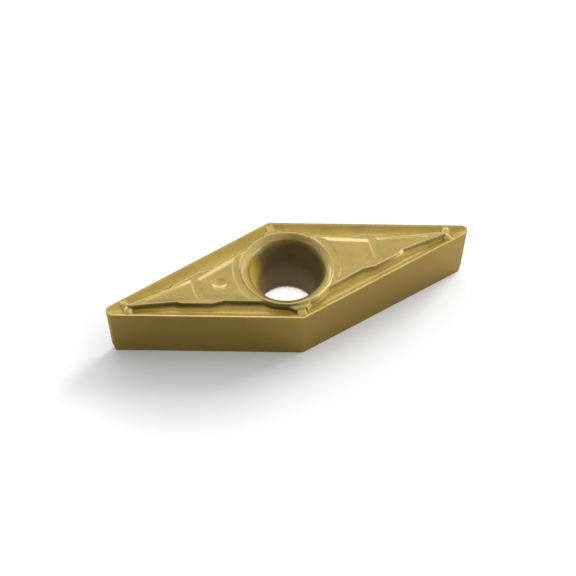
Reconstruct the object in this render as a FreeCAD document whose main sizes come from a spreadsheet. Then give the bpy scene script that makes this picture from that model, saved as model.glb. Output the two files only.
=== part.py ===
import FreeCAD, Part
import Sketcher
import math
import os
from FreeCAD import Vector

# A 35 degree rhombic turning insert with 5 degree relief, pressed and sintered
# in one piece.  +X points to a cutting nose, +Z up.  The origin is on the axis
# of the screw hole, in the plane of the seat face.
SIZES = (
    ("inscribed_circle", 9.525, "diameter of the circle that touches the four cutting edges"),
    ("point_angle", 35.0, "angle between the two cutting edges at a nose"),
    ("edge_height", 4.76, "cutting edges above the seat face"),
    ("relief_angle", 5.0, "lean of the flanks"),
    ("nose_radius", 0.5, "nose radius at the cutting edge"),
    ("seat_nose_radius", 0.17, "nose radius at the seat face"),
    ("nose_blend", 0.01, "how far the nose's cone stands proud of the flanks where they meet"),
    ("corner_radius", 0.5, "blunt corner radius"),
    ("heel_height", 0.82, "height of the chamfer under each nose"),
    ("heel_angle", 18.6, "lean of that chamfer from upright"),
    ("bore_radius", 2.2, "screw hole"),
    ("bore_chamfer", 0.15, "chamfer where the hole leaves the seat face"),
    ("countersink_radius", 3.67, "arc of the screw seat, seen in section"),
    ("lip_radius", 3.06, "where the arc ends and the ring's inner slope starts"),
    ("lip_height", 0.06, "height of that lip above the cutting edges"),
    ("ring_slope", 0.47, "run of the ring's inner slope"),
    ("ring_crest", 0.11, "width of the ring's flat crest"),
    ("ring_height", 0.31, "crest of the ring above the cutting edges"),
    ("ring_rounding", 0.06, "rounding of the crest"),
    ("edge_hone", 0.03, "flat left along the cutting edge"),
    ("land_width", 0.15, "first facet behind the edge"),
    ("land_angle", 8.0, "fall of that facet"),
    ("rake_angle", 22.0, "fall of the hollow rake face where it leaves that facet"),
    ("rake_run", 0.8, "from there to the groove's flat floor"),
    ("floor_radius", 0.15, "corner radius of the groove's floor"),
    ("island_height", 0.22, "top of the island above the cutting edges"),
    ("wall_draft", 25.0, "lean of the walls of island, ring and tabs"),
    ("island_foot", 0.4, "concave rounding at the foot of the island's wall"),
    ("ring_foot", 0.12, "the same at the foot of the ring and the tabs"),
    ("foot_sink", 0.01, "how deep these feet are rooted in the groove's floor"),
    ("waist_groove", 1.48, "cutting edge to island, beside the ring"),
    ("bulge_groove", 1.19, "cutting edge to island, along the bulge"),
    ("bulge_start", 5.65, "where the bulge begins, from the hole's axis"),
    ("bulge_full", 6.6, "where it has its full width"),
    ("bulge_end", 8.9, "where it steps back"),
    ("step_length", 0.28, "length of that step"),
    ("spine_half_width", 0.72, "half width of the island after the step"),
    ("spine_tip", 12.9, "end of the island's spine"),
    ("spine_tip_half_width", 0.05, "half width of the spine at its end"),
    ("panel_rise", 0.06, "raised panels above the island"),
    ("panel_sink", 0.01, "how deep the panels' feet are rooted in the island"),
    ("panel_gap", 0.61, "ring to the inner panel's curved end"),
    ("panel_end", 6.85, "inner panel's straight end"),
    ("panel_side", 3.13, "where the inner panel's side lines meet the hole's axis"),
    ("panel_taper", 19.5, "slant of the panels' sides"),
    ("panel_slope", 0.38, "width of the inner panel's sloping sides"),
    ("panel_wall", 0.1, "width of the panels' end walls"),
    ("outer_panel_start", 7.6, "outer panel's straight end"),
    ("outer_panel_end", 11.3, "outer panel's tip"),
    ("outer_panel_half_width", 0.74, "half width of its straight end"),
    ("outer_panel_tip", 0.03, "half width of its tip"),
    ("outer_panel_slope", 0.3, "width of its sloping sides at the straight end"),
    ("dimple_place", 5.45, "dimple in the one inner panel"),
    ("dimple_radius", 0.58, "rim of the dimple"),
    ("dimple_depth", 0.13, "its depth"),
    ("lump_place", 12.92, "crossing of the axes of the two lumps behind a nose"),
    ("lump_half_width", 0.48, "half width of a lump at its root"),
    ("lump_height", 0.09, "top of the lumps above the cutting edges"),
    ("lump_start_fall", 0.04, "from there down to their start between the two"),
    ("lump_end_fall", 0.1, "from there down to their end at the cutting edge"),
    ("lump_root", 0.2, "root of the lumps and necks, below the cutting edges"),
    ("tab_half_width", 0.82, "tab between ring and blunt corner"),
    ("tab_height", 0.14, "top of the tab above the cutting edges"),
    ("tab_corner", 0.36, "cut corners of the tab"),
    ("neck_length", 0.95, "from the tab's end to the blunt corner's tip"),
    ("neck_margin", 0.3, "from the neck's end to that tip"),
    ("neck_half_width", 0.36, "half width of the neck"),
    ("neck_bevel", 0.12, "cut corners along its back"),
    ("neck_drop", 0.16, "fall of the neck's back, from the tab to its end"),
)

H = "(Sizes.point_angle / 2)"
RADIUS = "(Sizes.inscribed_circle / 2)"
LEAN = "(Sizes.edge_height * tan(Sizes.relief_angle))"
LAND_DROP = "(Sizes.land_width * tan(Sizes.land_angle))"
RING = "(Sizes.lip_radius + Sizes.ring_slope + Sizes.ring_crest)"
GROOVE_DEPTH = "(%s + Sizes.rake_run * tan(Sizes.rake_angle / 2))" % LAND_DROP
FOOT_STEPS = 5
RAKE_STEPS = 4


def make_sheet(doc):
    """Writes the driving sizes to a sheet, one named cell each."""
    sheet = doc.addObject("Spreadsheet::Sheet", "Sizes")
    for row, (alias, value, note) in enumerate(SIZES, start=1):
        sheet.set("A%d" % row, str(value))
        sheet.set("B%d" % row, note)
        sheet.setAlias("A%d" % row, alias)
    doc.recompute()
    return sheet


def origin_feature(body, role):
    return [f for f in body.Origin.OriginFeatures if f.Role == role][0]


def new_sketch(body, name, role="XY_Plane", up=None, along=None, out=None, turn=None):
    """A sketch on an origin plane, moved off it by expressions in the plane's own axes."""
    sketch = body.newObject("Sketcher::SketchObject", name)
    sketch.AttachmentSupport = (origin_feature(body, role), [""])
    sketch.MapMode = "FlatFace"
    if turn:
        sketch.AttachmentOffset = FreeCAD.Placement(Vector(), FreeCAD.Rotation(Vector(0, 1, 0), 1))
        sketch.setExpression("AttachmentOffset.Rotation.Angle", turn)
    for axis, expression in (("x", along), ("y", up), ("z", out)):
        if expression:
            sketch.setExpression("AttachmentOffset.Base." + axis, expression)
    body.Document.recompute()
    return sketch


def value_of(sketch, expression):
    number = sketch.evalExpression(expression)
    return float(getattr(number, "Value", number))


def bind(sketch, constraint, expression):
    index = sketch.addConstraint(constraint)
    sketch.setExpression("Constraints[%d]" % index, expression)


def pin(sketch, geometry, end, x, y):
    """Holds one end of a sketch element at (x, y), each an expression or "0"."""
    for kind, axis, expression in (("DistanceX", -2, x), ("DistanceY", -1, y)):
        if expression == "0":
            sketch.addConstraint(Sketcher.Constraint("PointOnObject", geometry, end, axis))
        else:
            value = value_of(sketch, expression)
            bind(sketch, Sketcher.Constraint(kind, -1, 1, geometry, end, value), expression)


def polygon(sketch, corners):
    """A closed polygon whose corners are held by expressions."""
    points = [Vector(*(value_of(sketch, e) for e in corner), 0) for corner in corners]
    count = len(points)
    for i in range(count):
        sketch.addGeometry(Part.LineSegment(points[i], points[(i + 1) % count]), False)
    for i in range(count):
        sketch.addConstraint(Sketcher.Constraint("Coincident", i, 2, (i + 1) % count, 1))
    for i, (x, y) in enumerate(corners):
        pin(sketch, i, 1, x, y)
    return sketch


def mirrored_polygon(sketch, upper):
    """A closed polygon from its corners above the sketch's X axis, repeated below it."""
    points = [Vector(*(value_of(sketch, e) for e in corner), 0) for corner in upper]
    points += [Vector(p.x, -p.y, 0) for p in reversed(points)]
    count = len(points)
    for i in range(count):
        sketch.addGeometry(Part.LineSegment(points[i], points[(i + 1) % count]), False)
    for i in range(count):
        sketch.addConstraint(Sketcher.Constraint("Coincident", i, 2, (i + 1) % count, 1))
    for i, (x, y) in enumerate(upper):
        pin(sketch, i, 1, x, y)
        sketch.addConstraint(Sketcher.Constraint("Symmetric", i, 1, count - 1 - i, 1, -1))
    return sketch


def rhombus(sketch, inradius, nose, corner):
    """A rhombus with rounded corners, from its inscribed circle and its two corner radii."""
    r, a, b = (value_of(sketch, e) for e in (inradius, nose, corner))
    half = math.radians(value_of(sketch, H))
    side = Vector(math.sin(half), math.cos(half), 0)
    nose_at = Vector((r - a) / math.sin(half), 0, 0)
    corner_at = Vector(0, (r - b) / math.cos(half), 0)
    quarter = [nose_at + side * a, corner_at + side * b]

    def turned(p, sx, sy):
        return Vector(p.x * sx, p.y * sy, 0)

    lines = (
        (turned(quarter[1], 1, -1), turned(quarter[0], 1, -1)),
        (quarter[0], quarter[1]),
        (turned(quarter[1], -1, 1), turned(quarter[0], -1, 1)),
        (turned(quarter[0], -1, -1), turned(quarter[1], -1, -1)),
    )
    z = Vector(0, 0, 1)
    low = math.pi / 2 - half
    arcs = (
        (nose_at, a, -low, low),
        (corner_at, b, low, math.pi - low),
        (-nose_at, a, math.pi - low, math.pi + low),
        (-corner_at, b, math.pi + low, 2 * math.pi - low),
    )
    for start, end in lines:
        sketch.addGeometry(Part.LineSegment(start, end), False)
    for centre, radius, first, last in arcs:
        sketch.addGeometry(Part.ArcOfCircle(Part.Circle(centre, z, radius), first, last), False)
    for i in range(4):
        sketch.addConstraint(Sketcher.Constraint("Tangent", i, 2, 4 + i, 1))
        sketch.addConstraint(Sketcher.Constraint("Tangent", 4 + i, 2, (i + 1) % 4, 1))
    for i, angle in enumerate((H, "180 - " + H, "180 + " + H, "360 - " + H)):
        turn = math.radians(value_of(sketch, angle))
        bind(sketch, Sketcher.Constraint("Angle", i, turn), angle)
        bind(sketch, Sketcher.Constraint("Distance", -1, 1, i, r), inradius)
    for i, expression in enumerate((nose, corner, nose, corner)):
        radius = value_of(sketch, expression)
        bind(sketch, Sketcher.Constraint("Radius", 4 + i, radius), expression)
    return sketch


def loft(body, kind, name, sketches, ruled=True):
    feature = body.newObject("PartDesign::" + kind, name)
    feature.Profile = sketches[0]
    feature.Sections = sketches[1:]
    feature.Ruled = ruled
    feature.Closed = False
    settle(body, feature)
    return feature


def revolve(body, kind, name, sketch):
    feature = body.newObject("PartDesign::" + kind, name)
    feature.Profile = sketch
    feature.ReferenceAxis = (sketch, ["V_Axis"])
    feature.Angle = 360.0
    settle(body, feature)
    return feature


def mirror(body, name, features, role):
    feature = body.newObject("PartDesign::Mirrored", name)
    feature.Originals = features
    feature.MirrorPlane = (origin_feature(body, role), [""])
    settle(body, feature)
    return feature


def mirror_twice(body, name, features):
    """Repeats features across both upright planes, so that there are four of each."""
    feature = body.newObject("PartDesign::MultiTransform", name)
    feature.Originals = features
    steps = []
    for suffix, role in (("Across", "YZ_Plane"), ("Along", "XZ_Plane")):
        step = body.Document.addObject("PartDesign::Mirrored", name + suffix)
        step.MirrorPlane = (origin_feature(body, role), [""])
        steps.append(step)
    feature.Transformations = steps
    settle(body, feature)
    return feature


def settle(body, feature):
    """Makes a feature the body's tip and sees that it changed the solid."""
    before = body.Shape.Volume if body.Tip and not body.Shape.isNull() else 0.0
    body.Tip = feature
    body.Document.recompute()
    change = body.Shape.Volume - before
    print("%-22s %+9.4f mm3  %s" % (feature.Name, change, "" if body.Shape.isValid() else "INVALID"))
    if abs(change) < 1e-6:
        raise RuntimeError(feature.Name + " changes nothing")


def faces_where(feature, test):
    return ["Face%d" % i for i, face in enumerate(feature.Shape.Faces, start=1) if test(face)]


def edges_where(feature, test):
    return ["Edge%d" % i for i, edge in enumerate(feature.Shape.Edges, start=1) if test(edge)]


def make_blank(body):
    """The plain pressed body: a rhombus whose flanks lean in to the seat face."""
    corners = [
        (RADIUS + " / sin(%s)" % H, "0"),
        ("0", RADIUS + " / cos(%s)" % H),
        ("-%s / sin(%s)" % (RADIUS, H), "0"),
        ("0", "-%s / cos(%s)" % (RADIUS, H)),
    ]
    sketch = polygon(new_sketch(body, "EdgeOutline", out="Sizes.edge_height"), corners)
    pad = body.newObject("PartDesign::Pad", "Prism")
    pad.Profile = sketch
    pad.Reversed = True
    pad.setExpression("Length", "Sizes.edge_height")
    settle(body, pad)
    top = pad.Shape.BoundBox.ZMax
    draft = body.newObject("PartDesign::Draft", "Flanks")
    draft.Base = (pad, faces_where(pad, lambda face: abs(face.normalAt(0.5, 0.5).z) < 0.1))
    draft.NeutralPlane = (pad, faces_where(pad, lambda face: face.BoundBox.ZMin > top - 0.01))
    draft.Reversed = True
    draft.setExpression("Angle", "Sizes.relief_angle")
    settle(body, draft)
    blunt = edges_where(draft, lambda edge: abs(edge.CenterOfMass.x) < 0.01 and edge.BoundBox.ZLength > 1)
    rounding = body.newObject("PartDesign::Fillet", "BluntCorners")
    rounding.Base = (draft, blunt)
    rounding.setExpression("Radius", "Sizes.corner_radius")
    settle(body, rounding)
    cut_noses(body)


def cut_noses(body):
    """Rounds each nose off with a cone that is wide at the cutting edge and narrow at the seat."""
    sections = []
    for name, out, inradius, radius in (
        ("NoseAtEdge", "Sizes.edge_height", RADIUS, "Sizes.nose_radius"),
        ("NoseAtSeat", "0", "(%s - %s)" % (RADIUS, LEAN), "Sizes.seat_nose_radius"),
    ):
        sketch = new_sketch(body, name, out=out if out != "0" else None)
        centre = "((%s - %s) / sin(%s) + Sizes.nose_blend)" % (inradius, radius, H)
        touch_x = "(%s + %s * sin(%s))" % (centre, radius, H)
        touch_y = "(%s * cos(%s))" % (radius, H)
        far_x = "(%s + 4 * Sizes.nose_radius)" % centre
        far_y = "(%s + Sizes.nose_radius)" % touch_y
        upper = [(touch_x, touch_y), (touch_x, far_y), (far_x, far_y)]
        points = [Vector(*(value_of(sketch, e) for e in corner), 0) for corner in upper]
        points += [Vector(p.x, -p.y, 0) for p in reversed(points)]
        for i in range(5):
            sketch.addGeometry(Part.LineSegment(points[i], points[i + 1]), False)
        middle = Vector(value_of(sketch, centre), 0, 0)
        swing = math.atan2(points[0].y, points[0].x - middle.x)
        circle = Part.Circle(middle, Vector(0, 0, 1), value_of(sketch, radius))
        sketch.addGeometry(Part.ArcOfCircle(circle, -swing, swing), False)
        for i in range(4):
            sketch.addConstraint(Sketcher.Constraint("Coincident", i, 2, i + 1, 1))
        sketch.addConstraint(Sketcher.Constraint("Coincident", 4, 2, 5, 1))
        sketch.addConstraint(Sketcher.Constraint("Coincident", 5, 2, 0, 1))
        for i, (x, y) in enumerate(upper):
            pin(sketch, i, 1, x, y)
            sketch.addConstraint(Sketcher.Constraint("Symmetric", i, 1, 4 - i, 2, -1))
        bind(sketch, Sketcher.Constraint("Radius", 5, value_of(sketch, radius)), radius)
        sections.append(sketch)
    cut = loft(body, "SubtractiveLoft", "Nose", sections)
    mirror(body, "Noses", [cut], "YZ_Plane")


def cut_heels(body):
    """The small chamfer at the foot of each nose."""
    tip = "((%s - %s - Sizes.seat_nose_radius) / sin(%s) + Sizes.seat_nose_radius)" % (RADIUS, LEAN, H)
    steep = "((%s - %s) / sin(%s))" % (RADIUS, "Sizes.nose_radius", H)
    top = "(%s + Sizes.nose_radius)" % steep
    rise = "(%s - %s) / Sizes.edge_height" % (top, tip)
    foot = "(%s + Sizes.heel_height * (%s - tan(Sizes.heel_angle)))" % (tip, rise)
    sketch = new_sketch(body, "HeelSection", "XZ_Plane")
    polygon(
        sketch,
        [
            (foot + " - Sizes.heel_height * tan(Sizes.heel_angle)", "-Sizes.heel_height"),
            (top, "-Sizes.heel_height"),
            (top, "Sizes.heel_height * 2"),
            (foot + " + 2 * Sizes.heel_height * tan(Sizes.heel_angle)", "Sizes.heel_height * 2"),
        ],
    )
    cut = body.newObject("PartDesign::Pocket", "Heel")
    cut.Profile = sketch
    cut.Midplane = True
    cut.setExpression("Length", "Sizes.inscribed_circle")
    settle(body, cut)
    mirror(body, "Heels", [cut], "YZ_Plane")


def cut_groove(body):
    """The moulded chip-breaker: a facet behind the edge, then the hollow rake to the floor."""
    hone = "Sizes.edge_hone"
    land = "(Sizes.edge_hone + Sizes.land_width)"
    hollow = "(Sizes.rake_run / sin(Sizes.rake_angle))"
    levels = []
    for name, drop, inset in (("HoneOutline", "0", hone), ("LandOutline", LAND_DROP, land)):
        radii = ["(Sizes.%s - %s)" % (radius, inset) for radius in ("nose_radius", "corner_radius")]
        levels.append((name, drop, inset, *radii))
    for step in range(1, RAKE_STEPS + 1):
        angle = "(Sizes.rake_angle * %d / %d)" % (RAKE_STEPS - step, RAKE_STEPS)
        inset = "(%s + %s * (sin(Sizes.rake_angle) - sin(%s)))" % (land, hollow, angle)
        drop = "(%s + %s * (cos(%s) - cos(Sizes.rake_angle)))" % (LAND_DROP, hollow, angle)
        levels.append(("RakeOutline%d" % step, drop, inset, "Sizes.floor_radius", "Sizes.floor_radius"))
    outlines = []
    for name, drop, inset, nose, corner in levels:
        sketch = new_sketch(body, name, out="Sizes.edge_height - " + drop)
        outlines.append(rhombus(sketch, "(%s - %s)" % (RADIUS, inset), nose, corner))
    loft(body, "SubtractiveLoft", "ChipGroove", outlines)


def side_line(groove, spread="0"):
    """Half width, at x, of a line parallel to the cutting edge: (constant, slope)."""
    return "((%s - Sizes.%s + %s) / cos(%s))" % (RADIUS, groove, spread, H)


def wall_levels(top, foot):
    """Levels of a leaning wall with a concave foot: (height over the edges, spread) each."""
    hollow = "(%s * (1 - sin(Sizes.wall_draft)) - %s)" % (foot, GROOVE_DEPTH)
    start = "((%s - %s) * tan(Sizes.wall_draft))" % (top, hollow)
    levels = [(top, "0"), (hollow, start)]
    for step in range(1, FOOT_STEPS + 1):
        angle = "((90 - Sizes.wall_draft) * %d / %d)" % (FOOT_STEPS - step, FOOT_STEPS)
        spread = "(%s + %s * (cos(Sizes.wall_draft) - sin(%s)))" % (start, foot, angle)
        height = "(%s - %s * (cos(%s) - sin(Sizes.wall_draft)))" % (hollow, foot, angle)
        levels.append((height, spread))
    levels[-1] = ("(-%s - Sizes.foot_sink)" % GROOVE_DEPTH, levels[-1][1])
    return levels


def walled_form(body, name, top, foot, outline):
    """A raised form whose outline is drawn again, wider, at each level of its wall."""
    sketches = []
    for number, (height, spread) in enumerate(wall_levels(top, foot), start=1):
        sketch = new_sketch(body, "%sLevel%d" % (name, number), out="Sizes.edge_height + " + height)
        sketches.append(outline(sketch, spread))
    return loft(body, "AdditiveLoft", name, sketches)


def island_outline(sketch, spread):
    """Outline of one arm of the island: waist, bulge, step and spine."""
    slope = "tan(%s)" % H
    waist = side_line("waist_groove", spread)
    bulge = side_line("bulge_groove", spread)
    step = "(Sizes.bulge_end + %s)" % spread
    spine = "(Sizes.bulge_end + Sizes.step_length + %s)" % spread
    return mirrored_polygon(
        sketch,
        [
            ("Sizes.bore_radius", "%s - Sizes.bore_radius * %s" % (waist, slope)),
            ("Sizes.bulge_start", "%s - Sizes.bulge_start * %s" % (waist, slope)),
            ("Sizes.bulge_full", "%s - Sizes.bulge_full * %s" % (bulge, slope)),
            (step, "%s - %s * %s" % (bulge, step, slope)),
            (spine, "Sizes.spine_half_width + %s" % spread),
            ("Sizes.spine_tip", "Sizes.spine_tip_half_width + %s" % spread),
        ],
    )


def make_island(body):
    """The two raised arms of the island, from the ring out to the noses."""
    arm = walled_form(body, "Island", "Sizes.island_height", "Sizes.island_foot", island_outline)
    mirror(body, "Islands", [arm], "YZ_Plane")


def make_ring(body):
    """The raised ring around the screw hole, with the same wall and foot as the island."""
    sketch = new_sketch(body, "RingSection", "XZ_Plane", up="Sizes.edge_height")
    levels = wall_levels("Sizes.ring_height", "Sizes.ring_foot")
    root = levels[-1][0]
    wall = [(RING + " + " + spread, height) for height, spread in reversed(levels)]
    corners = [("Sizes.bore_radius", root)] + wall + [("Sizes.bore_radius", "Sizes.ring_height")]
    polygon(sketch, corners)
    revolve(body, "Revolution", "Ring", sketch)


def cut_bore(body):
    """The screw hole: chamfer, cylinder, curved screw seat and the ring's inner slope."""
    reach = "Sizes.bore_radius + Sizes.bore_chamfer"
    centre_x = "(Sizes.bore_radius + Sizes.countersink_radius)"
    lip_height = "(Sizes.edge_height + Sizes.lip_height)"
    rise = "sqrt(Sizes.countersink_radius ^ 2 - (%s - Sizes.lip_radius) ^ 2)" % centre_x
    seat = "(%s - %s)" % (lip_height, rise)
    top = "(Sizes.edge_height + 2 * Sizes.ring_height)"
    steepness = "(Sizes.ring_slope / (Sizes.ring_height - Sizes.lip_height))"
    out = "(Sizes.lip_radius + (%s - %s) * %s)" % (top, lip_height, steepness)
    sketch = new_sketch(body, "BoreSection", "XZ_Plane")
    corners = [
        ("0", "-Sizes.bore_chamfer"),
        (reach + " + Sizes.bore_chamfer", "-Sizes.bore_chamfer"),
        ("Sizes.bore_radius", "Sizes.bore_chamfer"),
        ("Sizes.bore_radius", seat),
        ("Sizes.lip_radius", lip_height),
        (out, top),
        ("0", top),
    ]
    points = [Vector(*(value_of(sketch, e) for e in corner), 0) for corner in corners]
    centre = Vector(value_of(sketch, centre_x), value_of(sketch, seat), 0)
    radius = value_of(sketch, "Sizes.countersink_radius")
    swing = math.pi - math.asin((points[4].y - points[3].y) / radius)
    count = len(corners)
    for i in range(count):
        if i == 3:
            circle = Part.Circle(centre, Vector(0, 0, 1), radius)
            sketch.addGeometry(Part.ArcOfCircle(circle, swing, math.pi), False)
        else:
            sketch.addGeometry(Part.LineSegment(points[i], points[(i + 1) % count]), False)
    for i in range(count):
        end = 1 if i == 3 else 2
        start = 2 if (i + 1) % count == 3 else 1
        sketch.addConstraint(Sketcher.Constraint("Coincident", i, end, (i + 1) % count, start))
    for i, (x, y) in enumerate(corners):
        pin(sketch, i, 2 if i == 3 else 1, x, y)
    bind(sketch, Sketcher.Constraint("Radius", 3, radius), "Sizes.countersink_radius")
    return revolve(body, "Groove", "Bore", sketch)


def make_panels(body):
    """Raised panels on the island: an inner one from the ring and a pointed outer one."""
    foot = "Sizes.edge_height + Sizes.island_height - Sizes.panel_sink"
    top = "Sizes.edge_height + Sizes.island_height + Sizes.panel_rise"
    grow = "((Sizes.panel_rise + Sizes.panel_sink) / Sizes.panel_rise)"
    end = "(Sizes.panel_wall * %s)" % grow
    panels = []
    for name, outline, slope in (
        ("InnerPanel", inner_panel, "Sizes.panel_slope"),
        ("OuterPanel", outer_panel, "Sizes.outer_panel_slope"),
    ):
        side = "(%s * %s)" % (slope, grow)
        sketches = [outline(body, name + "Foot", foot, side, end), outline(body, name + "Top", top, "0", "0")]
        panels.append(loft(body, "AdditiveLoft", name, sketches))
    mirror(body, "Panels", panels, "YZ_Plane")


def inner_panel(body, name, place, side, end):
    """Outline of the inner panel: an arc around the hole, two slanting sides, a straight end."""
    sketch = new_sketch(body, name, out=place)
    slope = "tan(Sizes.panel_taper)"
    side_at = "(Sizes.panel_side + %s)" % side
    radius = "(%s + Sizes.panel_gap - %s)" % (RING, end)
    # where the side line y = side_at - x * slope meets the circle
    bend = "(1 + %s ^ 2)" % slope
    root = "sqrt(%s * %s ^ 2 - %s ^ 2)" % (bend, radius, side_at)
    x = "((%s * %s + %s) / %s)" % (slope, side_at, root, bend)
    y = "(%s - %s * %s)" % (side_at, x, slope)
    far = "(Sizes.panel_end + %s)" % end
    far_y = "(%s - %s * %s)" % (side_at, far, slope)
    near = Vector(value_of(sketch, x), value_of(sketch, y), 0)
    away = Vector(value_of(sketch, far), value_of(sketch, far_y), 0)
    swing = math.atan2(near.y, near.x)
    circle = Part.Circle(Vector(), Vector(0, 0, 1), value_of(sketch, radius))
    sketch.addGeometry(Part.ArcOfCircle(circle, -swing, swing), False)
    sketch.addGeometry(Part.LineSegment(near, away), False)
    sketch.addGeometry(Part.LineSegment(away, Vector(away.x, -away.y, 0)), False)
    sketch.addGeometry(Part.LineSegment(Vector(away.x, -away.y, 0), Vector(near.x, -near.y, 0)), False)
    sketch.addConstraint(Sketcher.Constraint("Coincident", 0, 3, -1, 1))
    sketch.addConstraint(Sketcher.Constraint("Coincident", 0, 2, 1, 1))
    sketch.addConstraint(Sketcher.Constraint("Coincident", 1, 2, 2, 1))
    sketch.addConstraint(Sketcher.Constraint("Coincident", 2, 2, 3, 1))
    sketch.addConstraint(Sketcher.Constraint("Coincident", 3, 2, 0, 1))
    sketch.addConstraint(Sketcher.Constraint("Symmetric", 2, 1, 2, 2, -1))
    sketch.addConstraint(Sketcher.Constraint("Symmetric", 0, 1, 0, 2, -1))
    bind(sketch, Sketcher.Constraint("Radius", 0, value_of(sketch, radius)), radius)
    bind(sketch, Sketcher.Constraint("DistanceY", -1, 1, 0, 2, near.y), y)
    pin(sketch, 2, 1, far, far_y)
    return sketch


def outer_panel(body, name, place, side, end):
    """Outline of the outer panel, a triangle with a blunt tip."""
    return mirrored_polygon(
        new_sketch(body, name, out=place),
        [
            ("Sizes.outer_panel_start - " + end, "Sizes.outer_panel_half_width + " + side),
            ("Sizes.outer_panel_end + " + end, "Sizes.outer_panel_tip + " + end),
        ],
    )


def cut_dimple(body):
    """A round dished dimple in the inner panel on the -X side."""
    top = "Sizes.edge_height + Sizes.island_height + Sizes.panel_rise"
    sketch = new_sketch(body, "DimpleSection", "XZ_Plane", along="-Sizes.dimple_place", up=top)
    rim, depth = (value_of(sketch, e) for e in ("Sizes.dimple_radius", "Sizes.dimple_depth"))
    radius = "((Sizes.dimple_radius ^ 2 + Sizes.dimple_depth ^ 2) / (2 * Sizes.dimple_depth))"
    bow = value_of(sketch, radius)
    corners = [(0, -depth), (rim, 0), (rim, depth), (0, depth)]
    points = [Vector(x, y, 0) for x, y in corners]
    circle = Part.Circle(Vector(0, bow - depth, 0), Vector(0, 0, 1), bow)
    swing = math.asin(rim / bow)
    sketch.addGeometry(Part.ArcOfCircle(circle, -math.pi / 2, swing - math.pi / 2), False)
    for i in (1, 2, 3):
        sketch.addGeometry(Part.LineSegment(points[i], points[(i + 1) % 4]), False)
    for i in range(4):
        sketch.addConstraint(Sketcher.Constraint("Coincident", i, 2, (i + 1) % 4, 1))
    pin(sketch, 0, 1, "0", "-Sizes.dimple_depth")
    pin(sketch, 1, 1, "Sizes.dimple_radius", "0")
    pin(sketch, 2, 1, "Sizes.dimple_radius", "Sizes.dimple_depth")
    pin(sketch, 3, 1, "0", "Sizes.dimple_depth")
    bind(sketch, Sketcher.Constraint("Radius", 0, bow), radius)
    revolve(body, "Groove", "Dimple", sketch)


def round_back(sketch, half_width, crest, root):
    """A section with a flat root and a rounded back, its crest over the sketch's origin."""
    w, top, low = (value_of(sketch, e) for e in (half_width, crest, root))
    left, right, peak = Vector(-w, -low, 0), Vector(w, -low, 0), Vector(0, top, 0)
    sketch.addGeometry(Part.LineSegment(left, right), False)
    sketch.addGeometry(Part.Arc(right, peak, left), False)
    sketch.addConstraint(Sketcher.Constraint("Coincident", 0, 2, 1, 1))
    sketch.addConstraint(Sketcher.Constraint("Coincident", 1, 2, 0, 1))
    pin(sketch, 0, 1, "-" + half_width, "-" + root)
    pin(sketch, 0, 2, half_width, "-" + root)
    rise = "(%s + %s)" % (crest, root)
    radius = "((%s ^ 2 + %s ^ 2) / (2 * %s))" % (half_width, rise, rise)
    bind(sketch, Sketcher.Constraint("Radius", 1, value_of(sketch, radius)), radius)
    return sketch


def ridge(sketch, half_width, bevel, crest, root):
    """A section with a flat root, leaning sides and a flat back with cut corners."""
    side = "(%s + (%s + %s) * tan(Sizes.wall_draft))" % (half_width, crest, root)
    back = "(%s - %s)" % (half_width, bevel)
    low = "(%s - %s / 2)" % (crest, bevel)
    return polygon(
        sketch,
        [
            ("-" + side, "-" + root),
            (side, "-" + root),
            (half_width, low),
            (back, crest),
            ("-" + back, crest),
            ("-" + half_width, low),
        ],
    )


def make_lumps(body):
    """Two rounded lumps behind each nose, each square to its cutting edge."""
    land = "(Sizes.edge_hone + Sizes.land_width / 2)"
    length = "(%s - Sizes.lump_place * sin(%s) - %s)" % (RADIUS, H, land)
    sections = []
    for name, out, fall in (
        ("LumpStart", "0", "Sizes.lump_start_fall"),
        ("LumpMiddle", "(%s / 2)" % length, "0"),
        ("LumpEnd", length, "Sizes.lump_end_fall"),
    ):
        sketch = new_sketch(
            body,
            name,
            "XZ_Plane",
            up="Sizes.edge_height",
            along="Sizes.lump_place + %s * sin(%s)" % (out, H),
            out="%s * cos(%s)" % (out, H),
            turn=H,
        )
        crest = "(Sizes.lump_height - %s)" % fall
        sections.append(round_back(sketch, "Sizes.lump_half_width", crest, "Sizes.lump_root"))
    lump = loft(body, "AdditiveLoft", "Lump", sections, ruled=False)
    mirror_twice(body, "Lumps", [lump])


def tab_outline(sketch, spread):
    """Outline of both tabs, from blunt corner to blunt corner under the ring, corners cut."""
    wide = "(Sizes.tab_half_width + %s)" % spread
    narrow = "(Sizes.tab_half_width - Sizes.tab_corner + %s * tan(22.5))" % spread
    end = "(%s / cos(%s) - Sizes.neck_length)" % (RADIUS, H)
    reach = "(%s + %s)" % (end, spread)
    shoulder = "(%s - Sizes.tab_corner + %s * tan(22.5))" % (end, spread)
    return mirrored_polygon(
        sketch,
        [("-" + wide, shoulder), ("-" + narrow, reach), (narrow, reach), (wide, shoulder)],
    )


def make_tabs(body):
    """The tabs that tie the ring to the blunt corners, and the necks that run on from them."""
    walled_form(body, "Tabs", "Sizes.tab_height", "Sizes.ring_foot", tab_outline)
    end = "(%s / cos(%s) - Sizes.neck_margin)" % (RADIUS, H)
    root = "Sizes.lip_radius"
    crest = "Sizes.tab_height"
    low = "(Sizes.tab_height - Sizes.neck_drop)"
    sections = []
    for name, out, top in (
        ("NeckEndBack", "-" + end, low),
        ("NeckRootBack", "-" + root, crest),
        ("NeckRootFront", root, crest),
        ("NeckEndFront", end, low),
    ):
        sketch = new_sketch(body, name, "XZ_Plane", up="Sizes.edge_height", out=out)
        sections.append(ridge(sketch, "Sizes.neck_half_width", "Sizes.neck_bevel", top, "Sizes.lump_root"))
    loft(body, "AdditiveLoft", "Necks", sections)


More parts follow.
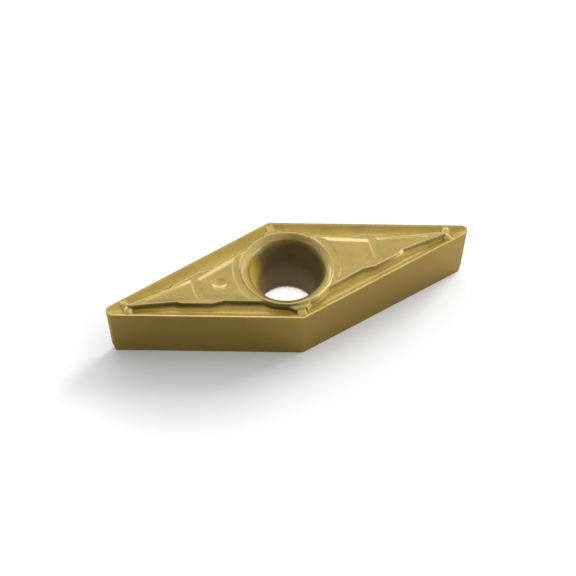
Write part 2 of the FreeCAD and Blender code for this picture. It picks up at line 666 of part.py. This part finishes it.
def round_ring(body, bore):
    """Rounds both edges of the ring's crest and the lip of the screw seat."""
    level = value_of(bore, "Sizes.edge_height")
    circles = edges_where(
        bore,
        lambda edge: edge.isClosed() and edge.BoundBox.ZLength < 1e-6 and edge.BoundBox.ZMin > level,
    )
    rounding = body.newObject("PartDesign::Fillet", "RingEdges")
    rounding.Base = (bore, circles)
    rounding.setExpression("Radius", "Sizes.ring_rounding")
    settle(body, rounding)


def check(doc, body):
    for thing in doc.Objects:
        if "Invalid" in thing.State or "Error" in thing.State:
            raise RuntimeError("%s failed: %s" % (thing.Label, thing.State))
    if body.Shape.isNull() or not body.Shape.isValid() or len(body.Shape.Solids) != 1:
        raise RuntimeError("the insert is not one valid solid")


def main():
    doc = FreeCAD.newDocument("Insert")
    make_sheet(doc)
    body = doc.addObject("PartDesign::Body", "InsertBody")
    body.Label = "insert_body"
    make_blank(body)
    cut_heels(body)
    cut_groove(body)
    make_island(body)
    make_panels(body)
    make_tabs(body)
    make_lumps(body)
    make_ring(body)
    bore = cut_bore(body)
    round_ring(body, bore)
    cut_dimple(body)
    check(doc, body)
    os.makedirs("parts", exist_ok=True)
    body.Shape.exportStep("parts/insert_body.step")


main()
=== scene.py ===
import logging
import math
from dataclasses import dataclass, field
from enum import Enum
from typing import Any, Optional, Union

import bpy
from mathutils import Matrix, Vector


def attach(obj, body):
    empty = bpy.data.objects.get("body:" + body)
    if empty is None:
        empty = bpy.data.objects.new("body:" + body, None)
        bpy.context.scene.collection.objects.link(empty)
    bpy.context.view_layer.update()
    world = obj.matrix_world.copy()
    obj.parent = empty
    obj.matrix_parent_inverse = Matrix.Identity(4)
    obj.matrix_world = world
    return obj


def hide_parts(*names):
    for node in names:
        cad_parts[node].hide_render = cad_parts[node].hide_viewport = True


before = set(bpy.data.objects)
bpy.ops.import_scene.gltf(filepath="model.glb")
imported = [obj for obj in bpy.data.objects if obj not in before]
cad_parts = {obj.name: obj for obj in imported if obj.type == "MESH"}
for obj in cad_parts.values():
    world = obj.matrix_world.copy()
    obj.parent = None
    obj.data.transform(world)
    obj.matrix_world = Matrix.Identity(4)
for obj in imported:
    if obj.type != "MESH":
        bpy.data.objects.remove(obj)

log = logging.getLogger("turning_insert")
MM = 0.001
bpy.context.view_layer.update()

Number = Union[float, int]
Triple = tuple[float, float, float]


class Level(Enum):
    """Heights of the insert's level outlines above the table."""

    LAND = 4.7389 * MM
    EDGE = 4.76 * MM
    ISLAND = 4.98 * MM
    PANEL = 5.04 * MM


class LampKind(Enum):
    """The kinds of lamp in the studio."""

    SOFT_BOX = "AREA"
    SPOT = "SPOT"


class Socket:
    """An output socket that takes part in Python arithmetic by adding Math nodes."""

    def __init__(self, graph: "Graph", output: bpy.types.NodeSocket) -> None:
        """Keeps the graph and the output socket.

        Args:
            graph: the graph that new nodes go into.
            output: the socket that this object stands for.
        """
        self.graph = graph
        self.output = output

    def _maths(self, operation: str, *values: Any) -> "Socket":
        """Adds one Math node.

        Args:
            operation: the node's operation.
            values: its inputs in order, sockets or numbers.

        Returns:
            The node's value.
        """
        return self.graph.node("ShaderNodeMath", {"operation": operation}, dict(enumerate(values)))

    def __add__(self, other: Any) -> "Socket":
        """self + other."""
        return self._maths("ADD", self, other)

    def __radd__(self, other: Any) -> "Socket":
        """other + self."""
        return self._maths("ADD", other, self)

    def __sub__(self, other: Any) -> "Socket":
        """self - other."""
        return self._maths("SUBTRACT", self, other)

    def __rsub__(self, other: Any) -> "Socket":
        """other - self."""
        return self._maths("SUBTRACT", other, self)

    def __mul__(self, other: Any) -> "Socket":
        """self * other."""
        return self._maths("MULTIPLY", self, other)

    def __rmul__(self, other: Any) -> "Socket":
        """other * self."""
        return self._maths("MULTIPLY", other, self)

    def __truediv__(self, other: Any) -> "Socket":
        """self / other."""
        return self._maths("DIVIDE", self, other)

    def power(self, exponent: Number) -> "Socket":
        """self raised to exponent."""
        return self._maths("POWER", self, exponent)

    def larger(self, other: Any) -> "Socket":
        """The larger of self and other."""
        return self._maths("MAXIMUM", self, other)

    def size(self) -> "Socket":
        """self without its sign."""
        return self._maths("ABSOLUTE", self)

    def ramp(self, low: Number, high: Number) -> "Socket":
        """Rises smoothly from 0 at low to 1 at high.

        Args:
            low: value at which the result leaves 0.
            high: value at which the result reaches 1.

        Returns:
            The smoothed value.
        """
        settings = {"interpolation_type": "SMOOTHSTEP"}
        inputs = {0: self, 1: low, 2: high, 3: 0.0, 4: 1.0}
        return self.graph.node("ShaderNodeMapRange", settings, inputs)

    def axis(self, letter: str) -> "Socket":
        """One part of a vector: X, Y or Z."""
        return self.graph.node("ShaderNodeSeparateXYZ", inputs={0: self}, output=letter)

    def dot(self, other: Any) -> "Socket":
        """The dot product of two vectors.

        Args:
            other: the other vector, a socket or three numbers.

        Returns:
            The product.
        """
        settings = {"operation": "DOT_PRODUCT"}
        return self.graph.node("ShaderNodeVectorMath", settings, {0: self, 1: other}, "Value")


class Graph:
    """The nodes of one material or world."""

    def __init__(self, tree: bpy.types.NodeTree) -> None:
        """Empties the node tree and keeps it.

        Args:
            tree: the tree to fill.
        """
        self.tree = tree
        tree.nodes.clear()

    def node(
        self,
        kind: str,
        settings: Optional[dict[str, Any]] = None,
        inputs: Optional[dict[Any, Any]] = None,
        output: Union[int, str] = 0,
    ) -> Socket:
        """Adds a node, sets it up and links or fills its inputs.

        Args:
            kind: the node's type name.
            settings: attributes that are set first.
            inputs: sockets or values by the input's name or number.
            output: which output to return.

        Returns:
            The chosen output.
        """
        node = self.tree.nodes.new(kind)
        for name, value in (settings or {}).items():
            setattr(node, name, value)
        for name, value in (inputs or {}).items():
            if isinstance(value, Socket):
                self.tree.links.new(value.output, node.inputs[name])
            else:
                node.inputs[name].default_value = value
        return Socket(self, node.outputs[output] if node.outputs else None)

    def blend(self, factor: Any, first: Any, second: Any) -> Socket:
        """Mixes two colours.

        Args:
            factor: share of the second colour.
            first: colour at 0, a socket or three numbers.
            second: colour at 1, a socket or three numbers.

        Returns:
            The mixed colour.
        """
        ends = (end if isinstance(end, Socket) else (*end, 1.0) for end in (first, second))
        inputs = dict(zip((0, 6, 7), (factor, *ends)))
        return self.node("ShaderNodeMix", {"data_type": "RGBA"}, inputs, 2)

    def noise(self, place: Socket, size: float, detail: float, roughness: float) -> Socket:
        """Adds a noise pattern.

        Args:
            place: where the pattern is read.
            size: size of its spots, in metres.
            detail: how many finer layers it has.
            roughness: how strong they are.

        Returns:
            The pattern's value, about 0.5 on average.
        """
        inputs = {"Vector": place, "Scale": 1 / size, "Detail": detail, "Roughness": roughness}
        return self.node("ShaderNodeTexNoise", inputs=inputs)


class CoatSurface:
    """What the coating reads at a point of the insert."""

    def __init__(self, graph: Graph, spots: tuple[float, float], rounds: tuple[float, float]) -> None:
        """Adds the nodes that read place, direction, pattern and rounded edges.

        Args:
            graph: the material's nodes.
            spots: size of the fine grain and of the soft clouds.
            rounds: radius of the low edges and of those of island and ring.
        """
        place = graph.node("ShaderNodeTexCoord", output="Object")
        across, along = place.axis("X"), place.axis("Y")
        self.height = place.axis("Z")
        self.radius = (across * across + along * along).power(0.5)
        self.side = across / self.radius
        self.facing = graph.node("ShaderNodeTexCoord", output="Normal")
        self.grains = graph.noise(place, spots[0], detail=3.0, roughness=0.6)
        self.clouds = graph.noise(place, spots[1], detail=5.0, roughness=0.55)
        self.edge = graph.node("ShaderNodeBevel", {"samples": 6}, {"Radius": rounds[0]})
        self.crest = graph.node("ShaderNodeBevel", {"samples": 8}, {"Radius": rounds[1]})


@dataclass(frozen=True)
class TitaniumCoat:
    """The thin gold-brown hard coating over pressed and sintered carbide."""

    name: str = "titanium_coat"
    colour: Triple = (0.418, 0.296, 0.049)
    deep_colour: Triple = (0.320, 0.220, 0.033)
    rim_tint: Triple = (1.0, 0.9, 0.75)
    grain_size: float = 0.12 * MM
    cloud_size: float = 1.6 * MM
    cloud_share: float = 0.45
    mottle_low: float = 0.36
    mottle_high: float = 0.62
    roughness: float = 0.34
    grain_roughness: float = 0.25
    cloud_roughness: float = 0.1
    grain: float = 0.2
    grain_depth: float = 0.02 * MM
    gloss: float = 1.0
    gloss_roughness: float = 0.11
    gloss_index: float = 1.7
    # painted shade: the flanks' darker colour stands in for the shaded table they reflect
    shaded_flank_colour: Triple = (0.297, 0.204, 0.052)
    ground_slope: float = 0.1
    pressed_slope: float = 0.3
    # painted shade: dark colour in the screw hole, fading out towards its lit left side
    bore_shade_colour: Triple = (0.114, 0.083, 0.024)
    bore_rim: float = 3.05 * MM
    bore_fade: float = 0.9
    shade_left: float = -0.95
    shade_right: float = -0.45
    slope_rim: float = 3.5 * MM
    bore_roughness: float = 0.6
    bore_metal: float = 0.45
    groove_top: float = Level.EDGE.value - 0.028 * MM
    groove_fade: float = 0.01 * MM
    groove_roughness: float = 0.44
    groove_gloss: float = 0.4
    edge_round: float = 0.03 * MM
    crest_round: float = 0.2 * MM
    crest_start: float = Level.ISLAND.value - 0.14 * MM
    crest_fade: float = 0.02 * MM
    # painted highlight: lighter colour on the island's rounded crests
    highlight_colour: Triple = (0.64, 0.49, 0.19)
    highlight_start: float = Level.ISLAND.value - 0.05 * MM
    highlight_fade: float = 0.03 * MM
    highlight_fold: float = 0.012
    highlight_full: float = 0.035
    highlight_lean: float = 0.1

    def material(self) -> bpy.types.Material:
        """Builds the coating: mottled colour, painted shade on the flanks and in the bore, painted
        highlights on the island's crests, fine grain and softly rounded edges.

        Returns:
            The material.
        """
        made = bpy.data.materials.new(self.name)
        made.use_nodes = True
        graph = Graph(made.node_tree)
        spots = (self.grain_size, self.cloud_size)
        surface = CoatSurface(graph, spots, (self.edge_round, self.crest_round))
        pressed = surface.facing.axis("Z").ramp(self.ground_slope, self.pressed_slope)
        groove = 1.0 - surface.height.ramp(self.groove_top, self.groove_top + self.groove_fade)
        inside = 1.0 - surface.radius.ramp(self.bore_rim * self.bore_fade, self.bore_rim)
        shader = graph.node(
            "ShaderNodeBsdfPrincipled",
            inputs={
                "Base Color": self.shade(graph, surface, pressed, inside),
                "Metallic": 1.0 - inside * (1.0 - self.bore_metal),
                "Roughness": self.dull(surface, groove * pressed),
                "Normal": self.grained_normal(graph, surface),
                "Specular Tint": (*self.rim_tint, 1.0),
                "Coat Weight": pressed * (self.gloss - groove * (self.gloss - self.groove_gloss)),
                "Coat Roughness": self.gloss_roughness,
                "Coat IOR": self.gloss_index,
            },
        )
        graph.node("ShaderNodeOutputMaterial", inputs={"Surface": shader})
        return made

    def shade(self, graph: Graph, surface: CoatSurface, pressed: Socket, inside: Socket) -> Socket:
        """Colours the pressed faces, paints shade on the ground flanks and in the bore, and paints
        highlights on the island's crests.

        Args:
            graph: the material's nodes.
            surface: what is read at each point.
            pressed: 1 on the pressed faces, 0 on the ground flanks.
            inside: 1 in the screw hole.

        Returns:
            The colour.
        """
        mottle = surface.clouds * self.cloud_share + surface.grains * (1.0 - self.cloud_share)
        mottle = mottle.ramp(self.mottle_low, self.mottle_high)
        colour = graph.blend(mottle, self.deep_colour, self.colour)
        # painted shade: the flanks get a darker colour, standing in for the shaded table they reflect
        colour = graph.blend(pressed, self.shaded_flank_colour, colour)
        # painted shade: the screw hole is darkened except on its left side
        hole_shade = inside * surface.side.ramp(self.shade_left, self.shade_right)
        colour = graph.blend(hole_shade, colour, self.bore_shade_colour)
        # painted highlight: a lighter colour on the island's crests
        return graph.blend(self.crest_highlight(surface), colour, self.highlight_colour)

    def crest_highlight(self, surface: CoatSurface) -> Socket:
        """Finds the steep crests along the island's long sides, where a lighter colour is painted as a
        highlight.

        Args:
            surface: what is read at each point.

        Returns:
            1 on those crests, otherwise 0.
        """
        turned = 1.0 - surface.crest.dot(surface.facing)
        lean = surface.crest.axis("Y").size()
        high = surface.height.ramp(self.highlight_start, self.highlight_start + self.highlight_fade)
        steep = turned.ramp(self.highlight_fold, self.highlight_full)
        return steep * lean.ramp(self.highlight_lean, self.highlight_lean * 2) * high

    def dull(self, surface: CoatSurface, groove: Socket) -> Socket:
        """Sets how rough the coating is: roughest in the bore, duller in the groove.

        Args:
            surface: what is read at each point.
            groove: 1 in the chip groove.

        Returns:
            The roughness.
        """
        grains = (surface.grains - 0.5) * self.grain_roughness
        clouds = (surface.clouds - 0.5) * self.cloud_roughness
        matt = 1.0 - surface.radius.ramp(self.bore_rim, self.slope_rim)
        rough = self.roughness + grains + clouds
        rough = rough + matt * (self.bore_roughness - self.roughness)
        return rough + groove * (self.groove_roughness - self.roughness)

    def grained_normal(self, graph: Graph, surface: CoatSurface) -> Socket:
        """Rounds the low edges a little, those of island and ring more, and adds the grain.

        Args:
            graph: the material's nodes.
            surface: what is read at each point.

        Returns:
            The normal.
        """
        raised = surface.height.ramp(self.crest_start, self.crest_start + self.crest_fade)
        inputs = {0: raised, 4: surface.edge, 5: surface.crest}
        rounded = graph.node("ShaderNodeMix", {"data_type": "VECTOR"}, inputs, 1)
        return graph.node(
            "ShaderNodeBump",
            inputs={
                "Strength": self.grain,
                "Distance": self.grain_depth,
                "Height": surface.grains,
                "Normal": rounded,
            },
        )


@dataclass(frozen=True)
class PaleTable:
    """The plain pale table top that the insert lies on."""

    name: str = "pale_table"
    colour: Triple = (0.70, 0.70, 0.70)
    lift: float = 0.13
    # painted light: extra glow of the table far from the insert
    far_lift: float = 0.28
    near: float = 14.0 * MM
    far: float = 26.0 * MM

    def material(self) -> bpy.types.Material:
        """Builds a matt table with a glow for background rays; the glow rises with distance from the
        insert, painted light that makes the far table white.

        Returns:
            The material.
        """
        made = bpy.data.materials.new(self.name)
        made.use_nodes = True
        graph = Graph(made.node_tree)
        matt = graph.node("ShaderNodeBsdfDiffuse", inputs={"Color": (*self.colour, 1.0)})
        place = graph.node("ShaderNodeTexCoord", output="Object")
        distance = place.dot(place).power(0.5)
        lift = self.lift + distance.ramp(self.near, self.far) * self.far_lift
        glow = graph.node("ShaderNodeEmission", inputs={"Strength": background_rays(graph) * lift})
        both = graph.node("ShaderNodeAddShader", inputs={0: matt, 1: glow})
        graph.node("ShaderNodeOutputMaterial", inputs={"Surface": both})
        return made


def background_rays(graph: Graph) -> Socket:
    """1 for the rays that show the background: those of the camera, of gloss and through glass.

    Args:
        graph: the graph that the nodes go into.

    Returns:
        1 for such a ray, otherwise 0.
    """
    camera = graph.node("ShaderNodeLightPath", output="Is Camera Ray")
    glossy = graph.node("ShaderNodeLightPath", output="Is Glossy Ray")
    through = graph.node("ShaderNodeLightPath", output="Is Transmission Ray")
    return camera.larger(glossy).larger(through)


@dataclass(frozen=True)
class Patch:
    """A soft bright patch of the tent around one direction."""

    towards: Triple
    edge: float
    core: float
    strength: float

    def level(self, way: Socket) -> Socket:
        """The patch's light in a direction.

        Args:
            way: the direction, a unit vector.

        Returns:
            0 outside the patch, its strength inside.
        """
        return way.dot(self.towards).ramp(self.edge, self.core) * self.strength


@dataclass(frozen=True)
class TentCloth:
    """The light tent's cloth: how bright it is in each direction."""

    name: str = "tent_cloth"
    floor_level: float = 0.085
    rear: Patch = Patch((0.284, 0.959, 0.0), -0.7, 0.35, 0.94)
    haze_low: float = 0.2
    haze_high: float = 0.7
    low_fall: float = 0.28
    band: Patch = Patch((0.284, 0.959, 0.0), 0.45, 0.75, 3.2)
    band_height: float = 0.51
    band_half: float = 0.04
    band_fade: float = 0.05
    right_low: Patch = Patch((0.93, -0.30, 0.20), 0.88, 0.97, 2.6)
    right_sky: Patch = Patch((0.80, -0.35, 0.48), 0.3, 0.9, 0.4)

    def material(self) -> bpy.types.Material:
        """Builds a cloth that glows behind the insert and is dark in front of it.

        Returns:
            The material.
        """
        made = bpy.data.materials.new(self.name)
        made.use_nodes = True
        graph = Graph(made.node_tree)
        place = graph.node("ShaderNodeTexCoord", output="Object")
        way = graph.node("ShaderNodeVectorMath", {"operation": "NORMALIZE"}, {0: place})
        height = way.axis("Z")
        off_band = (height - self.band_height).size()
        strip = 1.0 - off_band.ramp(self.band_half, self.band_half + self.band_fade)
        haze = 1.0 - (1.0 - height.ramp(self.haze_low, self.haze_high)) * self.low_fall
        level = (
            self.floor_level
            + self.rear.level(way) * haze
            + self.band.level(way) * strip
            + self.right_low.level(way)
            + self.right_sky.level(way)
        )
        glow = graph.node("ShaderNodeEmission", inputs={"Strength": level})
        graph.node("ShaderNodeOutputMaterial", inputs={"Surface": glow})
        return made


@dataclass
class InsertBody:
    """The pressed and sintered insert, one coated piece."""

    node: str = "insert_body"
    merge_distance: float = 0.0002 * MM
    level_play: float = 0.002 * MM
    crease: float = 16.0
    outline_crease: float = 4.0
    coating: TitaniumCoat = field(default_factory=TitaniumCoat)

    def build(self) -> bpy.types.Object:
        """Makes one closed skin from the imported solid.

        Returns:
            The insert.
        """
        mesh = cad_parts[self.node].data.copy()
        piece = bpy.data.objects.new("coated_insert", mesh)
        bpy.context.scene.collection.objects.link(piece)
        bpy.ops.object.select_all(action="DESELECT")
        bpy.context.view_layer.objects.active = piece
        piece.select_set(True)
        if mesh.has_custom_normals:
            bpy.ops.mesh.customdata_custom_splitnormals_clear()
        bpy.ops.object.mode_set(mode="EDIT")
        bpy.ops.mesh.select_all(action="SELECT")
        bpy.ops.mesh.remove_doubles(threshold=self.merge_distance)
        bpy.ops.object.mode_set(mode="OBJECT")
        bpy.ops.object.shade_smooth_by_angle(angle=math.radians(self.crease))
        self.sharpen_outlines(mesh)
        return piece

    def sharpen_outlines(self, mesh: bpy.types.Mesh) -> None:
        """Keeps the level outlines of edge, land, island and panels crisp, however flat they fold.

        Args:
            mesh: the insert's mesh.
        """
        normals: dict[tuple[int, int], list[Vector]] = {}
        for face in mesh.polygons:
            for key in face.edge_keys:
                normals.setdefault(key, []).append(face.normal)
        fold = math.radians(self.outline_crease)
        for edge in mesh.edges:
            heights = [mesh.vertices[i].co.z for i in edge.vertices]
            level = any(sum(abs(z - one.value) for z in heights) < self.level_play for one in Level)
            sides = normals[edge.key]
            if level and len(sides) == 2 and sides[0].angle(sides[1]) > fold:
                edge.use_edge_sharp = True

    def dress(self, piece: bpy.types.Object) -> None:
        """Coats the insert and lets it stand for the CAD node.

        Args:
            piece: the insert.
        """
        piece.data.materials.clear()
        piece.data.materials.append(self.coating.material())
        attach(piece, "root")
        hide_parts(self.node)


@dataclass(frozen=True)
class Lamp:
    """A round lamp that shines on the middle of the table."""

    name: str
    kind: LampKind
    power: float
    distance: float
    width: float
    azimuth: float = 0.0
    elevation: float = 90.0
    spot_blend: float = 0.1
    spot_bulb: float = 1.0 * MM

    def hang(self) -> None:
        """Hangs the lamp. A soft box stays out of sight of the camera and of the insert's gloss."""
        turn, lift = math.radians(self.azimuth), math.radians(self.elevation)
        way = Vector((math.cos(lift) * math.cos(turn), math.cos(lift) * math.sin(turn), math.sin(lift)))
        light = bpy.data.lights.new(self.name, self.kind.value)
        light.energy = self.power
        lamp = bpy.data.objects.new(self.name, light)
        lamp.location = way * self.distance
        lamp.rotation_euler = way.to_track_quat("Z", "Y").to_euler()
        if self.kind is LampKind.SOFT_BOX:
            light.shape = "DISK"
            light.size = self.width
            lamp.visible_camera = False
            lamp.visible_glossy = False
        else:
            light.spot_size = 2 * math.atan(self.width / 2 / self.distance)
            light.spot_blend = self.spot_blend
            light.shadow_soft_size = self.spot_bulb
        bpy.context.scene.collection.objects.link(lamp)
        log.info("%s %.2f W", self.name, self.power)


@dataclass
class Studio:
    """The table, the light tent, the lamps and the camera."""

    table_size: float = 1.2
    tent_radius: float = 0.5
    world_level: float = 0.8
    view_right: Triple = (0.9589, -0.2837, 0.0)
    view_up: Triple = (0.2207, 0.7460, 0.6282)
    view_back: Triple = (-0.1782, -0.6024, 0.7780)
    shift_right: float = 0.1131 * MM
    shift_up: float = -1.3669 * MM
    view_width: float = 44.912 * MM
    camera_distance: float = 0.3
    clip_start: float = 0.01
    clip_end: float = 5.0
    soft_box: Lamp = Lamp("soft_box", LampKind.SOFT_BOX, 2.1, 0.45, 0.26, azimuth=24.0, elevation=28.0)
    hole_spot: Lamp = Lamp("hole_spot", LampKind.SPOT, 2.2, 0.2, 4.6 * MM)

    def lay_table(self) -> None:
        """Lays the pale table under the insert."""
        bpy.ops.object.select_all(action="DESELECT")
        bpy.ops.mesh.primitive_plane_add(size=self.table_size, location=(0.0, 0.0, 0.0))
        table = bpy.context.object
        table.name = "table"
        table.data.materials.append(PaleTable().material())
        log.info("table %.2f m", self.table_size)

    def raise_tent(self) -> None:
        """Puts the light tent over the table, out of the camera's sight."""
        bpy.ops.object.select_all(action="DESELECT")
        bpy.ops.mesh.primitive_uv_sphere_add(segments=48, ring_count=24, radius=self.tent_radius)
        tent = bpy.context.object
        tent.name = "light_tent"
        tent.visible_camera = False
        tent.data.materials.append(TentCloth().material())
        log.info("light tent %.2f m", self.tent_radius)

    def hang_lamps(self) -> None:
        """Hangs the soft box right of the insert and the spot that shines down the screw hole."""
        self.soft_box.hang()
        self.hole_spot.hang()

    def light_world(self) -> None:
        """Puts a plain pale world around the tent, white where the background shows."""
        world = bpy.data.worlds.new("white_room")
        bpy.context.scene.world = world
        world.use_nodes = True
        graph = Graph(world.node_tree)
        level = self.world_level + background_rays(graph) * (1.0 - self.world_level)
        inputs = {"Color": (1.0, 1.0, 1.0, 1.0), "Strength": level}
        glow = graph.node("ShaderNodeBackground", inputs=inputs)
        graph.node("ShaderNodeOutputWorld", inputs={"Surface": glow})

    def place_camera(self) -> None:
        """Looks at the insert from the photograph's side."""
        right, up, back = (Vector(v) for v in (self.view_right, self.view_up, self.view_back))
        target = Vector((0.0, 0.0, Level.EDGE.value)) + right * self.shift_right + up * self.shift_up
        lens = bpy.data.cameras.new("camera")
        lens.type = "ORTHO"
        lens.ortho_scale = self.view_width
        lens.clip_start = self.clip_start
        lens.clip_end = self.clip_end
        camera = bpy.data.objects.new("camera", lens)
        bpy.context.scene.collection.objects.link(camera)
        turn = Matrix((right, up, back)).transposed().to_4x4()
        camera.matrix_world = Matrix.Translation(target + back * self.camera_distance) @ turn
        bpy.context.scene.camera = camera


def main() -> None:
    """Builds the insert and the studio."""
    logging.basicConfig(level=logging.INFO, format="%(name)s: %(message)s")
    bpy.context.scene.view_settings.view_transform = "Standard"
    insert = InsertBody()
    piece = insert.build()
    insert.dress(piece)
    log.info("%s: %d faces", piece.name, len(piece.data.polygons))
    studio = Studio()
    studio.lay_table()
    studio.raise_tent()
    studio.hang_lamps()
    studio.light_world()
    studio.place_camera()


if __name__ == "__main__":
    main()
